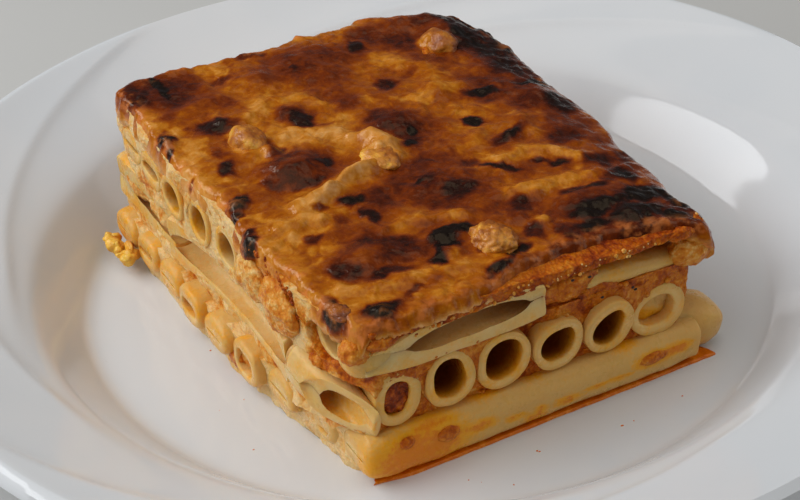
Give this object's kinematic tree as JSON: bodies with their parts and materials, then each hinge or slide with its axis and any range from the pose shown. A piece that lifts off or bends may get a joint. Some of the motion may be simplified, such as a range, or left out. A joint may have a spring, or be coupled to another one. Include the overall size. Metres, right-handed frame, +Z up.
{
  "type": "baked pasta",
  "caption": "Cut square of layered baked tube pasta with meat sauce under a browned bechamel crust, served on a round white plate.",
  "frame": {"origin": "centre of the plate, on the surface that its foot ring stands on", "axes": "+Z up; +X along the cut face with the round tube ends, +Y along the other visible cut face, towards the back of the slice"},
  "size_m": [0.2412, 0.2412, 0.0503],
  "materials": {
    "porcelain": "gloss",
    "pasta": "satin",
    "meat_sauce": "satin",
    "oil_film": "gloss",
    "crust": "satin",
    "browned_cheese": "satin"
  },
  "bodies": {
    "root": {"base_sauce": "oil_film", "bechamel_crust": "crust", "bottom_tube_01": "pasta", "bottom_tube_02": "pasta", "bottom_tube_03": "pasta", "bottom_tube_04": "pasta", "bottom_tube_05": "pasta", "bottom_tube_06": "pasta", "bottom_tube_07": "pasta", "bottom_tube_08": "pasta", "bottom_tube_09": "pasta", "cheese_fringe": "browned_cheese", "cheese_lump_1": "browned_cheese", "cheese_lump_2": "browned_cheese", "cheese_lump_3": "browned_cheese", "cheese_lump_4": "browned_cheese", "cheese_lump_5": "browned_cheese", "meat_sauce_lower": "meat_sauce", "meat_sauce_middle": "meat_sauce", "meat_sauce_top": "meat_sauce", "middle_tube_01": "pasta", "middle_tube_02": "pasta", "middle_tube_03": "pasta", "middle_tube_04": "pasta", "middle_tube_05": "pasta", "middle_tube_06": "pasta", "middle_tube_07": "pasta", "middle_tube_08": "pasta", "middle_tube_09": "pasta", "plate": "porcelain", "top_tube_01": "pasta", "top_tube_02": "pasta", "top_tube_03": "pasta", "top_tube_04": "pasta", "top_tube_05": "pasta", "top_tube_06": "pasta", "top_tube_07": "pasta", "top_tube_08": "pasta", "top_tube_09": "pasta", "top_tube_10": "pasta", "tube_filling_1": "meat_sauce", "tube_filling_2": "meat_sauce"}
  },
  "joints": []
}
